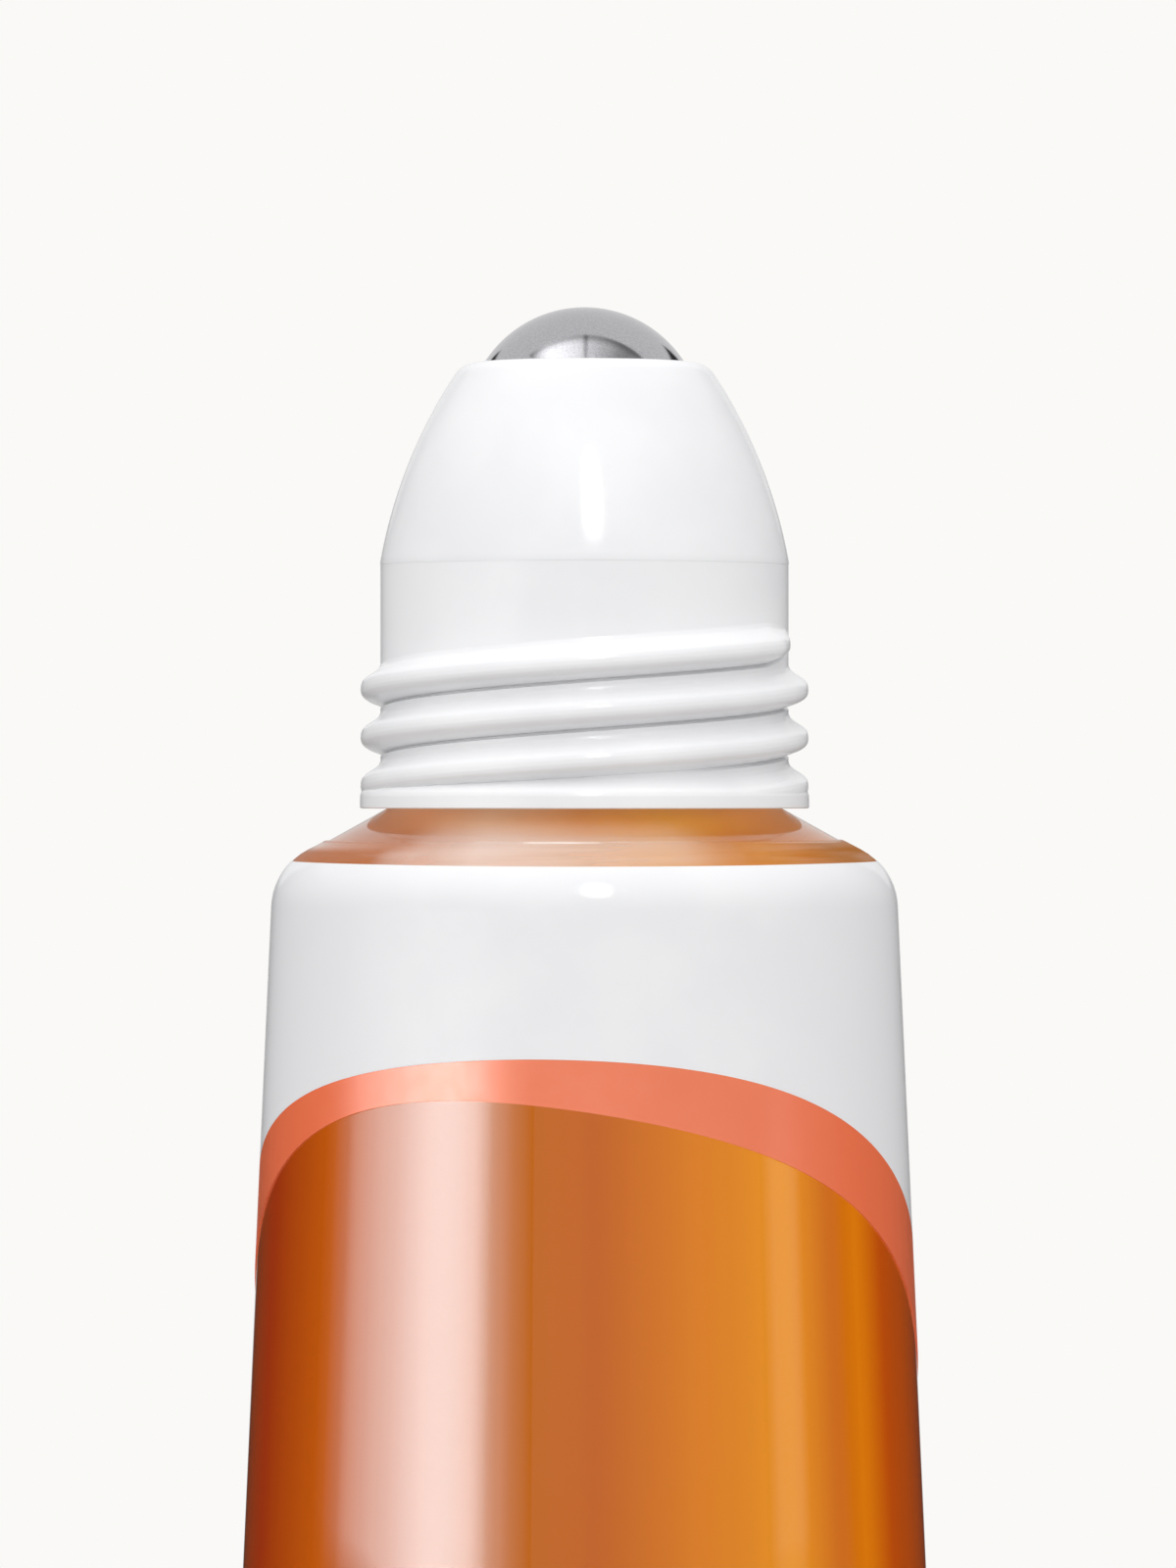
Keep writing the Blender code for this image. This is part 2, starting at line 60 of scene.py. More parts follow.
# Bottle, as the frame has it
BODY_HEIGHT = 0.045
SHOULDER_TOP_RADIUS = 0.00795
SHOULDER_EDGE_RADIUS = 0.01246
SHOULDER_DROP = 0.00236
SHOULDER_ROUND = 0.0027
BASE_RADIUS = 0.01436
BASE_ROUND = 0.0018
FOOT_WIDTH = 0.0025
FOOT_ROUND = 0.0003
PUNT_DEPTH = 0.0004
WALL = 0.0019
BASE_THICKNESS = 0.005
INNER_ROUND = 0.0022
NECK_RADIUS = 0.0062
NECK_BORE_RADIUS = 0.0052
NECK_TOP_Z = 0.05122
NECK_LIP_ROUND = 0.0002
SLEEVE_EDGE_RADIUS = 0.0104
SLEEVE_STEP = 0.00006

# Oil, which wets the inside of the wall
OIL_OVERLAP = 0.00002
OIL_LEVEL_Z = 0.04532

# Threaded collar
COLLAR_RADIUS = 0.0082
COLLAR_HEIGHT = 0.00978
COLLAR_GAP = 0.00001
COLLAR_TOP_ROUND = 0.00001
FLANGE_RADIUS = 0.00903
FLANGE_CREST = 0.00040
FLANGE_FOOT_ROUND = 0.00004
THREAD_RADIUS = 0.0090
THREAD_LEAD = 0.00387
THREAD_FRONT_RISE = 0.00187
THREAD_TOP_RISE = 0.00664
THREAD_STARTS = 2
THREAD_REACH_TURNS = 2
THREAD_FADE_TURNS = 0.06
THREAD_END_WIDTH = 0.6
GROOVE_FADE = 0.0005
THREAD_SECTION = (
    (-0.00077, 0.0),
    (-0.00073, -0.24),
    (-0.00065, -0.30),
    (-0.00062, 0.0),
    (-0.00056, 0.22),
    (-0.00044, 0.62),
    (-0.00032, 0.85),
    (-0.00020, 0.96),
    (-0.00005, 1.0),
    (0.00012, 0.99),
    (0.00028, 0.93),
    (0.00042, 0.76),
    (0.00066, 0.29),
    (0.00080, 0.09),
    (0.00098, 0.0),
)
LEAD_ROWS = 96
SPIGOT_BORE_RADIUS = 0.00675
NECK_BORE_IN_COLLAR = 0.0065
STEP_Z = 0.05152

# Dome
DOME_BASE_RADIUS = 0.00821
OGIVE_RADIUS = 0.0202
OGIVE_LEAN = math.radians(10.1)
DOME_FOOT_RISE = 0.00990
DOME_FOOT_ROUND = 0.000005
DOME_LAP = 0.00001
OGIVE_STEPS = 40
RIM_ROUND = 0.0010
SPIGOT_RADIUS = 0.00645
SPIGOT_FOOT_Z = 0.05262
PLUG_RADIUS = 0.00485
PLUG_BORE_RADIUS = 0.0036
PLUG_END_Z = 0.04702
BORE_FLOOR_Z = 0.05376
BALL_CLEARANCE = 0.00012
BALL_DEPTH_BELOW_RIM = 0.00252
LIP_ROUND = 0.00008

# Spring under the ball's seat
SPRING_RADIUS = 0.0025
SPRING_WIRE_RADIUS = 0.00022
SPRING_TURNS = 5
SPRING_STEPS = 48
SPRING_SIDES = 12

# Printed skins
PRINT_THICKNESS = 0.00006
PRINT_EMBED = 0.00002
PRINT_TOP_DROP = 0.00223
PRINT_TOP_SWAY = 0.00012
HEM_THICKNESS = 0.00002
HEM_EMBED = 0.00001
HEM_TOP_RADIUS = 0.0084
HEM_TUCK = 0.0001
FIELD_EDGE_SHARES = (0.3918, 0.2102, 0.0337)
FIELD_EDGE_TURNS = (math.radians(-9.4), math.radians(-10.1))
STRIPE_EDGE_SHARES = (0.5062, 0.3013, 0.0530)
STRIPE_EDGE_TURNS = (math.radians(-7.4), math.radians(0.9))
PRINT_SEAM = 0.00001
FIELD_ROWS = 8
STRIPE_ROWS = 4
HEM_ROWS = 10

# How fine the round shapes are
SEGMENTS = 192
COLLAR_SEGMENTS = 240
PRINT_SEGMENTS = 256
BALL_SUBDIVISIONS = 6
ARC_STEP = math.radians(6)
SHARP_ANGLE = math.radians(40)

# Camera, in front and about level with the collar's seat
CAMERA_AT = (0.00014, -0.35, 0.045984)
CAMERA_LENS = 200
CAMERA_SENSOR = 36
CAMERA_CLIP = (0.01, 100)

# Where most values of a noise lie
NOISE_SPAN = (0.3, 0.7)

# Room: how bright reflections show it, by degrees from the front, and its light on surfaces
WHITE = (1, 1, 1, 1)
BACKDROP = (0.956, 0.947, 0.930, 1)
ROOM_AT_EYE_LEVEL = (
    (0, 0.52),
    (60, 0.40),
    (97, 0.22),
    (103, 0.03),
    (167, 0.03),
    (173, 0.62),
    (180, 0.62),
)
AMBIENT_SPAN = (-0.7, 0.5)
AMBIENT_FRONT = 0.89
AMBIENT_BACK = 0.28
AMBIENT_TOP = 0.60

# Ceiling in reflections: it begins higher on the right than on the left, and low at the back
CEILING_GLOW = 0.75
CEILING_SIDES = (-0.4, 0.4)
CEILING_FOOT = (0.40, 0.445)
CEILING_BACK = (math.radians(150), math.radians(160))
CEILING_BACK_FOOT = 0.06
CEILING_FADE = 0.06

# Floor, which goes over to the backdrop
FLOOR_BOUNCE = 0.48
FLOOR_FADE = (0.03, 0.14)
FLOOR_RINGS = (0, 0.05, 0.2, 1, 5, 20)
FLOOR_SEGMENTS = 64

# Reflectors: their glow by degrees from the front, or by x for the ones overhead
LIGHT_CENTRE_Z = 0.04
SIDE_CARD_DISTANCE = 0.3
HIGH_CARD_DISTANCE = 0.6
CARD_EDGE = 0.01
CARD_STEPS = 60
CARD_ROWS = 12
LEFT_CARD_GLOW = (
    (-104, 0.0),
    (-98, 0.2),
    (-91, 1.4),
    (-86.5, 3.5),
    (-77, 6.5),
    (-69, 8.9),
    (-61, 12.3),
    (-53, 15.1),
    (-46, 15.0),
    (-38.5, 12.5),
    (-31.5, 4.2),
    (-24.5, 1.4),
    (-17.5, 0.0),
)
RIGHT_CARD_GLOW = ((63, 0.2), (68, 1.1), (77, 1.1), (81, 0.2))
HIGH_CARD_GLOW = ((-0.5, 120), (10.5, 120))
# Curved reflectors: name, glow, elevations in degrees, distance, soft shares of foot and head
CARDS = (
    ("left_card", LEFT_CARD_GLOW, (-7.5, 8), SIDE_CARD_DISTANCE, CARD_EDGE, CARD_EDGE),
    ("right_card", RIGHT_CARD_GLOW, (-7.5, 12), SIDE_CARD_DISTANCE, CARD_EDGE, CARD_EDGE),
    ("high_card", HIGH_CARD_GLOW, (25, 51), HIGH_CARD_DISTANCE, 0.2, 0.35),
)
TOP_PANEL_Z = 0.6
TOP_PANEL_NEAR = -0.40
TOP_LEFT_GLOW = (
    (-0.42, 0.6),
    (-0.37, 1.1),
    (-0.30, 1.75),
    (-0.25, 1.9),
    (-0.11, 1.54),
    (-0.01, 1.2),
    (0.0, 0.4),
    (0.02, 0.4),
)
TOP_RIGHT_GLOW = (
    (0.02, 1.05),
    (0.10, 0.80),
    (0.18, 0.62),
    (0.25, 0.42),
    (0.34, 0.32),
    (0.42, 0.42),
    (0.50, 0.60),
    (0.56, 0.75),
)
# What the glow overhead is multiplied by, by y
TOP_FAR_GAINS = ((-0.05, 1.0), (0.0, 0.74), (0.022, 0.46), (0.065, 0.46))

# Lamps: name, azimuth and elevation in degrees, power in watts
LAMPS = (
    ("key", 0, 28, 1.2),
    ("left", -75, 50, 1.0),
    ("right", 75, 55, 0.55),
    ("back", 180, 30, 1.8),
)
LAMP_DISTANCE = 0.9
LAMP_SIZE = 0.7


class Nodes:
    """Adds shader nodes to a tree. An input takes a number, a colour or another node's output."""

    def __init__(self, tree):
        self.tree = tree
        tree.nodes.clear()

    def add(self, kind, inputs=None, **settings):
        node = self.tree.nodes.new("ShaderNode" + kind)
        for key, value in settings.items():
            setattr(node, key, value)
        for key, value in (inputs or {}).items():
            socket = node.inputs[key]
            if isinstance(value, bpy.types.NodeSocket):
                self.tree.links.new(value, socket)
            else:
                socket.default_value = value
        return node

    def maths(self, operation, *values, clamp=False):
        node = self.add("Math", dict(enumerate(values)), operation=operation, use_clamp=clamp)
        return node.outputs[0]

    def fit(self, value, low, high, to_low=0.0, to_high=1.0, smooth=True):
        """The value's place between low and high, mapped to another range."""
        node = self.add(
            "MapRange",
            {
                "Value": value,
                "From Min": low,
                "From Max": high,
                "To Min": to_low,
                "To Max": to_high,
            },
            interpolation_type="SMOOTHSTEP" if smooth else "LINEAR",
        )
        return node.outputs["Result"]

    def mix(self, factor, first, second):
        node = self.add("Mix", {0: factor, 6: first, 7: second}, data_type="RGBA")
        return node.outputs[2]

    def ramp(self, value, stops):
        """A colour that goes through stops of (value from 0 to 1, colour)."""
        node = self.add("ValToRGB", {"Fac": value})
        elements = node.color_ramp.elements
        while len(elements) < len(stops):
            elements.new(0.5)
        for element, (position, colour) in zip(elements, stops):
            element.position = position
            element.color = colour
        return node.outputs["Color"]

    def noise(self, scale, detail=2, place=None):
        place = place or self.add("TexCoord").outputs["Object"]
        node = self.add("TexNoise", {"Vector": place, "Scale": scale, "Detail": detail})
        return node.outputs["Fac"]

    def bump(self, height, distance, strength=1.0):
        node = self.add("Bump", {"Height": height, "Distance": distance, "Strength": strength})
        return node.outputs["Normal"]

    def end(self, shader, kind="OutputMaterial"):
        self.add(kind, {"Surface": shader})


def new_material(name):
    made = bpy.data.materials.new(name)
    made.use_nodes = True
    return made, Nodes(made.node_tree)


def mesh_object(name, bm):
    """An object of this bmesh, smooth but for its steep edges."""
    bmesh.ops.recalc_face_normals(bm, faces=bm.faces)
    mesh = bpy.data.meshes.new(name)
    bm.to_mesh(mesh)
    bm.free()
    mesh.shade_smooth()
    mesh.set_sharp_from_angle(angle=SHARP_ANGLE)
    made = bpy.data.objects.new(name, mesh)
    bpy.context.scene.collection.objects.link(made)
    return made


def arc(centre, radius, start, end):
    steps = max(2, math.ceil(abs(end - start) / ARC_STEP))
    angles = [start + (end - start) * step / steps for step in range(steps + 1)]
    return [(centre[0] + radius * math.cos(a), centre[1] + radius * math.sin(a)) for a in angles]


def rounded(corners):
    """Points of an outline of corners (radius, height, fillet), with its fillets as arcs."""
    points = []
    for index, (x, z, fillet) in enumerate(corners):
        if not fillet:
            points.append((x, z))
            continue
        before = corners[index - 1]
        after = corners[index + 1]
        to_before = math.atan2(before[1] - z, before[0] - x)
        to_after = math.atan2(after[1] - z, after[0] - x)
        opening = (to_after - to_before + math.pi) % FULL_TURN - math.pi
        reach = fillet / math.tan(abs(opening) / 2)
        to_centre = to_before + opening / 2
        centre_reach = fillet / math.sin(abs(opening) / 2)
        centre = (x + centre_reach * math.cos(to_centre), z + centre_reach * math.sin(to_centre))
        start_at = (x + reach * math.cos(to_before), z + reach * math.sin(to_before))
        start = math.atan2(start_at[1] - centre[1], start_at[0] - centre[0])
        sweep = math.copysign(math.pi - abs(opening), -opening)
        points += arc(centre, fillet, start, start + sweep)
    return points


def around(radius, turn, z):
    """The place at this radius and turn about the axis."""
    return radius * math.sin(turn), -radius * math.cos(turn), z


def ring_at(bm, radius, z, segments):
    """A ring of vertices; on the axis, one vertex."""
    if radius == 0:
        return [bm.verts.new((0, 0, z))]
    turns = [FULL_TURN * index / segments for index in range(segments)]
    return [bm.verts.new(around(radius, turn, z)) for turn in turns]


def bridge(bm, first, second):
    """Faces between two rings, one of which may be a single vertex."""
    count = max(len(first), len(second))
    for index in range(count):
        corners = [first[index - 1 if len(first) > 1 else 0]]
        if len(second) > 1:
            corners.append(second[index - 1])
        corners.append(second[index if len(second) > 1 else 0])
        if len(first) > 1:
            corners.append(first[index])
        bm.faces.new(corners)


def turned(name, outline, ring=False):
    """A solid turned round Z from its outline. A ring's outline closes on itself."""
    bm = bmesh.new()
    rings = [ring_at(bm, radius, z, SEGMENTS) for radius, z in outline]
    pairs = list(zip(rings, rings[1:]))
    if ring:
        pairs.append((rings[-1], rings[0]))
    for first, second in pairs:
        bridge(bm, first, second)
    return mesh_object(name, bm)


def shoulder_z(radius):
    """Height of the shoulder's slope at this radius."""
    slope = SHOULDER_DROP / (SHOULDER_EDGE_RADIUS - SHOULDER_TOP_RADIUS)
    return BODY_HEIGHT - slope * (radius - SHOULDER_TOP_RADIUS)


def body_outline(sleeve_step=False):
    """The bottle's outside from the collar's seat down to its foot."""
    corners = [(SHOULDER_TOP_RADIUS, BODY_HEIGHT, 0)]
    if sleeve_step:
        edge_z = shoulder_z(SLEEVE_EDGE_RADIUS)
        corners += [
            (SLEEVE_EDGE_RADIUS - SLEEVE_STEP / 2, edge_z - SLEEVE_STEP, SLEEVE_STEP / 3),
            (SLEEVE_EDGE_RADIUS, edge_z, SLEEVE_STEP / 3),
        ]
    corners += [
        (SHOULDER_EDGE_RADIUS, BODY_HEIGHT - SHOULDER_DROP, SHOULDER_ROUND),
        (BASE_RADIUS, 0, BASE_ROUND),
        (BASE_RADIUS - BASE_ROUND - FOOT_WIDTH, 0, FOOT_ROUND),
        (BASE_RADIUS - BASE_ROUND - FOOT_WIDTH - PUNT_DEPTH, PUNT_DEPTH, 0),
    ]
    return rounded(corners)


def cavity_outline(inset):
    """The bottle's inside from its lip down to the middle of its floor."""
    wall_height = BODY_HEIGHT - SHOULDER_DROP
    flare = (BASE_RADIUS - SHOULDER_EDGE_RADIUS) / wall_height
    slope = SHOULDER_DROP / (SHOULDER_EDGE_RADIUS - SHOULDER_TOP_RADIUS)
    wall = WALL + inset
    neck = NECK_BORE_RADIUS - inset
    floor_z = BASE_THICKNESS + inset
    edge_z = wall_height - wall
    edge = BASE_RADIUS - flare * edge_z - wall
    return rounded(
        [
            (neck, NECK_TOP_Z, 0),
            (neck, edge_z + slope * (edge - neck), 0),
            (edge, edge_z, INNER_ROUND),
            (BASE_RADIUS - flare * floor_z - wall, floor_z, INNER_ROUND),
            (0, floor_z, 0),
        ]
    )


def build_shell():
    """The clear bottle with its neck and the fine edge of its sleeve on the shoulder."""
    neck = rounded(
        [
            (NECK_BORE_RADIUS, NECK_TOP_Z - WALL, 0),
            (NECK_BORE_RADIUS, NECK_TOP_Z, NECK_LIP_ROUND),
            (NECK_RADIUS, NECK_TOP_Z, NECK_LIP_ROUND),
            (NECK_RADIUS, BODY_HEIGHT, 0),
        ]
    )
    inside = list(reversed(cavity_outline(0)))[:-1]
    outline = inside + neck + body_outline(sleeve_step=True) + [(0, PUNT_DEPTH)]
    return turned("bottle_shell", outline)


def build_oil():
    """The oil, up to its level in the neck."""
    outline = [point for point in cavity_outline(-OIL_OVERLAP) if point[1] < OIL_LEVEL_Z]
    neck = NECK_BORE_RADIUS + OIL_OVERLAP
    return turned("oil", [(0, OIL_LEVEL_Z), (neck, OIL_LEVEL_Z)] + outline)


def print_edge(shares, turns, turn):
    """Height of a printed edge at this turn: a mean, a swing and a half swing."""
    mean, swing, half_swing = (share * BODY_HEIGHT for share in shares)
    first, second = turns
    drop = mean - swing * math.cos(turn - first) + half_swing * math.cos(2 * (turn - second))
    return BODY_HEIGHT - drop


def field_edge(turn):
    return print_edge(FIELD_EDGE_SHARES, FIELD_EDGE_TURNS, turn)


def stripe_edge(turn):
    return print_edge(STRIPE_EDGE_SHARES, STRIPE_EDGE_TURNS, turn)


def build_skin(name, rows, thickness=PRINT_THICKNESS, embed=PRINT_EMBED):
    """A thin skin on the wall, through rows that give a height for each turn."""
    outline = [point for point in body_outline() if point[1] > BASE_ROUND]
    heights = np.array([z for x, z in outline])[::-1]
    radii = np.array([x for x, z in outline])[::-1]
    bm = bmesh.new()
    layers = []
    inner = [(row, -embed) for row in reversed(rows)]
    outer = [(row, thickness) for row in rows]
    for row, offset in outer + inner:
        ring = []
        for index in range(PRINT_SEGMENTS):
            turn = FULL_TURN * index / PRINT_SEGMENTS
            z = row(turn)
            radius = float(np.interp(z, heights, radii)) + offset
            ring.append(bm.verts.new(around(radius, turn, z)))
        layers.append(ring)
    for first, second in zip(layers, layers[1:] + layers[:1]):
        bridge(bm, first, second)
    return mesh_object(name, bm)


def between(upper, lower, share):
    return lambda turn: upper(turn) + (lower(turn) - upper(turn)) * share


def print_top(turn):
    return BODY_HEIGHT - PRINT_TOP_DROP + PRINT_TOP_SWAY * math.sin(turn) ** 2


def build_white_field():
    """The white field, from the shoulder's edge down to the stripe."""
    bend_end = BODY_HEIGHT - 2 * SHOULDER_DROP
    bends = [z for x, z in body_outline() if bend_end < z < print_top(0)]
    rows = [print_top] + [lambda turn, z=z: z for z in bends]
    last = rows[-1]
    rows += [between(last, field_edge, step / FIELD_ROWS) for step in range(1, FIELD_ROWS + 1)]
    return build_skin("white_field", rows)


def build_stripe():
    """The stripe along the white field's lower edge."""

    def upper(turn):
        return field_edge(turn) - PRINT_SEAM

    rows = [between(upper, stripe_edge, step / STRIPE_ROWS) for step in range(STRIPE_ROWS + 1)]
    return build_skin("coral_band", rows)


def build_hem():
    """The skin for the hazy painted reflection on the shoulder and the sleeve's bare upper hem,
    down to under the white field.
    """

    def upper(turn):
        return shoulder_z(HEM_TOP_RADIUS)

    def lower(turn):
        return print_top(turn) - HEM_TUCK

    rows = [between(upper, lower, step / HEM_ROWS) for step in range(HEM_ROWS + 1)]
    return build_skin("sleeve_hem", rows, HEM_THICKNESS, HEM_EMBED)


def thread_share(offsets):
    """How far a ridge stands out at these distances from its middle, as a share of its height."""
    rises, shares = zip(*THREAD_SECTION)
    return np.interp(offsets, rises, shares, left=0, right=0)


def collar_radii(turn, rises):
    """The collar's outside at this turn and these rises, with its thread and flange."""
    share = np.zeros(len(rises))
    for start in range(2 * THREAD_REACH_TURNS * THREAD_STARTS):
        turns = turn / FULL_TURN + start / THREAD_STARTS - THREAD_REACH_TURNS
        crest = THREAD_FRONT_RISE + THREAD_LEAD * turns
        fade = min(max((THREAD_TOP_RISE - crest) / (THREAD_LEAD * THREAD_FADE_TURNS), 0), 1)
        width = THREAD_END_WIDTH + (1 - THREAD_END_WIDTH) * fade
        share += thread_share((rises - crest) / width) * fade
    flange_top = FLANGE_CREST + THREAD_SECTION[-1][0]
    groove = np.clip((rises - flange_top) / GROOVE_FADE, 0, 1)
    share = np.where(share < 0, share * groove, share)
    thread = COLLAR_RADIUS + (THREAD_RADIUS - COLLAR_RADIUS) * share
    flange_share = thread_share(rises - FLANGE_CREST)
    flange = COLLAR_RADIUS + (FLANGE_RADIUS - COLLAR_RADIUS) * flange_share
    return np.where(flange_share > 0, np.maximum(thread, flange), thread)


def threaded_wall(bm, low, high):
    """The collar's outside between two rises, on a grid along the thread. Gives its end rings."""
    row = THREAD_LEAD / LEAD_ROWS
    columns = []
    for index in range(COLLAR_SEGMENTS):
        turn = FULL_TURN * index / COLLAR_SEGMENTS
        shift = THREAD_LEAD * index / COLLAR_SEGMENTS
        first = math.floor((low - shift) / row) + 1
        last = math.ceil((high - shift) / row) - 1
        inner = [number * row + shift for number in range(first, last + 1)]
        rises = np.array([low, *inner, high])
        verts = []
        for radius, rise in zip(collar_radii(turn, rises), rises):
            verts.append(bm.verts.new(around(radius, turn, BODY_HEIGHT + rise)))
        columns.append((first, verts))

    def vert(index, number):
        if index == COLLAR_SEGMENTS:
            return vert(0, number + LEAD_ROWS)
        first, verts = columns[index]
        return verts[min(max(number - first + 1, 0), len(verts) - 1)]

    for index in range(COLLAR_SEGMENTS):
        for number in range(-LEAD_ROWS, math.ceil(high / row) + 1):
            corners = [vert(index, number), vert(index + 1, number)]
            corners += [vert(index + 1, number + 1), vert(index, number + 1)]
            corners = list(dict.fromkeys(corners))
            if len(corners) > 2:
                bm.faces.new(corners)
    return [verts[0] for first, verts in columns], [verts[-1] for first, verts in columns]


def build_collar():
    """The collar, with a finely shaped thread."""
    bm = bmesh.new()

    def ring(radius, rise):
        return ring_at(bm, radius, BODY_HEIGHT + rise, COLLAR_SEGMENTS)

    low_ring, high_ring = threaded_wall(bm, FLANGE_CREST, COLLAR_HEIGHT - COLLAR_TOP_ROUND)
    top = COLLAR_HEIGHT
    step = STEP_Z - BODY_HEIGHT
    rings = [
        high_ring,
        ring(COLLAR_RADIUS - COLLAR_TOP_ROUND, top),
        ring(SPIGOT_BORE_RADIUS, top),
        ring(SPIGOT_BORE_RADIUS, step),
        ring(NECK_BORE_IN_COLLAR, step),
        ring(NECK_BORE_IN_COLLAR, COLLAR_GAP),
        ring(FLANGE_RADIUS - FLANGE_FOOT_ROUND, COLLAR_GAP),
        ring(FLANGE_RADIUS, COLLAR_GAP + FLANGE_FOOT_ROUND),
        low_ring,
    ]
    for first, second in zip(rings, rings[1:]):
        bridge(bm, first, second)
    return mesh_object("collar", bm)


def build_dome(ball_z, ball_radius):
    """The ball's housing: rim, ogive, spigot, plug and socket."""
    foot_z = BODY_HEIGHT + COLLAR_HEIGHT - DOME_LAP
    nominal_foot = BODY_HEIGHT + DOME_FOOT_RISE
    rim_z = ball_z + BALL_DEPTH_BELOW_RIM
    socket_radius = ball_radius + BALL_CLEARANCE
    centre = (
        DOME_BASE_RADIUS - OGIVE_RADIUS * math.cos(OGIVE_LEAN),
        nominal_foot - OGIVE_RADIUS * math.sin(OGIVE_LEAN),
    )
    rim_lean = math.asin((rim_z - centre[1]) / OGIVE_RADIUS)
    rim_x = centre[0] + OGIVE_RADIUS * math.cos(rim_lean)
    ogive = []
    for step in range(OGIVE_STEPS + 1):
        lean = rim_lean + (OGIVE_LEAN - rim_lean) * step / OGIVE_STEPS
        x = centre[0] + OGIVE_RADIUS * math.cos(lean)
        ogive.append((x, centre[1] + OGIVE_RADIUS * math.sin(lean)))
    lip_angle = math.asin(BALL_DEPTH_BELOW_RIM / socket_radius)
    socket = arc((0, ball_z), socket_radius, 0, lip_angle)
    after_rim = next(index for index, point in enumerate(ogive) if rim_z - point[1] > RIM_ROUND)
    outside = rounded(
        [
            (*socket[-2], 0),
            (*socket[-1], LIP_ROUND),
            (rim_x, rim_z, RIM_ROUND),
            (*ogive[after_rim], 0),
        ]
    )
    outside += ogive[after_rim + 1 :]
    outside += [
        (DOME_BASE_RADIUS, foot_z + DOME_FOOT_ROUND),
        (DOME_BASE_RADIUS - DOME_FOOT_ROUND, foot_z),
    ]
    inside = [
        (SPIGOT_RADIUS, foot_z),
        (SPIGOT_RADIUS, SPIGOT_FOOT_Z),
        (PLUG_RADIUS, SPIGOT_FOOT_Z),
        (PLUG_RADIUS, PLUG_END_Z),
        (PLUG_BORE_RADIUS, PLUG_END_Z),
        (PLUG_BORE_RADIUS, BORE_FLOOR_Z),
        (socket_radius, BORE_FLOOR_Z),
    ]
    return turned("dome", outside + inside + socket[:-2], ring=True)


def build_ball(ball_z, ball_radius):
    """The steel ball."""
    bm = bmesh.new()
    bmesh.ops.create_icosphere(bm, subdivisions=BALL_SUBDIVISIONS, radius=ball_radius)
    bmesh.ops.translate(bm, verts=bm.verts, vec=(0, 0, ball_z))
    return mesh_object("steel_ball", bm)


def build_spring(low_z, high_z):
    """The compression spring: one wire from its lowest point to its highest."""
    climb = high_z - low_z - 2 * SPRING_WIRE_RADIUS
    steps = SPRING_TURNS * SPRING_STEPS
    bm = bmesh.new()
    rings = []
    for step in range(steps + 1):
        turn = FULL_TURN * step / SPRING_STEPS
        middle_z = low_z + SPRING_WIRE_RADIUS + climb * step / steps
        ring = []
        for side in range(SPRING_SIDES):
            angle = FULL_TURN * side / SPRING_SIDES
            radius = SPRING_RADIUS + SPRING_WIRE_RADIUS * math.cos(angle)
            z = middle_z + SPRING_WIRE_RADIUS * math.sin(angle)
            ring.append(bm.verts.new((radius * math.cos(turn), radius * math.sin(turn), z)))
        rings.append(ring)
    for first, second in zip(rings, rings[1:]):
        bridge(bm, first, second)
    bm.faces.new(rings[0])
    bm.faces.new(rings[-1])
    return mesh_object("coil_spring", bm)


# Materials


def clear_plastic():
    """Clear moulded plastic, faintly wavy; lamps shine through it on what it holds."""
    made, nodes = new_material("clear_plastic")
    tint = (0.97, 0.93, 0.88, 1)
    surface = nodes.add(
        "BsdfPrincipled",
        {
            "Base Color": tint,
            "Roughness": nodes.fit(nodes.noise(900), *NOISE_SPAN, 0.0, 0.03),
            "IOR": 1.5,
            "Transmission Weight": 1.0,
            "Normal": nodes.bump(nodes.noise(180), 0.00002, 0.3),
        },
    )
    through = nodes.add("BsdfTransparent", {"Color": tint})
    path = nodes.add("LightPath")
    lighting = nodes.maths("MAXIMUM", path.outputs["Is Shadow Ray"], path.outputs["Is Diffuse Ray"])
    mixed = nodes.add("MixShader", {"Fac": lighting, 1: surface.outputs[0], 2: through.outputs[0]})
    nodes.end(mixed.outputs[0])
    return made


# Heights between which the oil takes on the painted light of the shoulder, then the brighter
# painted light at the neck's foot
SHOULDER_OIL_Z = (0.0392, 0.0408)
NECK_OIL_Z = (0.0422, 0.0430)

# Colours of the oil and sleeve, by degrees from the front. The oil's hold painted light and shade:
# the body darker at its left edge and behind the left reflection, with painted bright bands on the
# right where light comes through; the shoulder painted paler and the neck's foot painted bright
# under the flange
OIL_TINTS_WITH_PAINTED_LIGHT = (
    (-180, (0.55, 0.12, 0.010, 1)),
    (-100, (0.42, 0.09, 0.006, 1)),
    (-78, (0.46, 0.042, 0.001, 1)),
    (-55, (0.64, 0.13, 0.005, 1)),
    (-35, (0.43, 0.105, 0.010, 1)),
    (-25, (0.40, 0.11, 0.012, 1)),
    (-16, (0.55, 0.155, 0.014, 1)),
    (2, (0.58, 0.14, 0.015, 1)),
    (25, (0.81, 0.26, 0.013, 1)),
    (41, (0.95, 0.36, 0.012, 1)),
    (53, (0.74, 0.18, 0.004, 1)),
    (61, (0.91, 0.26, 0.003, 1)),
    (70, (0.66, 0.10, 0.001, 1)),
    (100, (0.50, 0.09, 0.004, 1)),
    (180, (0.55, 0.12, 0.010, 1)),
)
SHOULDER_PAINTED_LIGHT = (
    (-55, (0.55, 0.19, 0.060, 1)),
    (-22, (0.65, 0.33, 0.180, 1)),
    (0, (0.64, 0.30, 0.100, 1)),
    (21, (0.70, 0.30, 0.030, 1)),
    (44, (0.62, 0.20, 0.012, 1)),
)
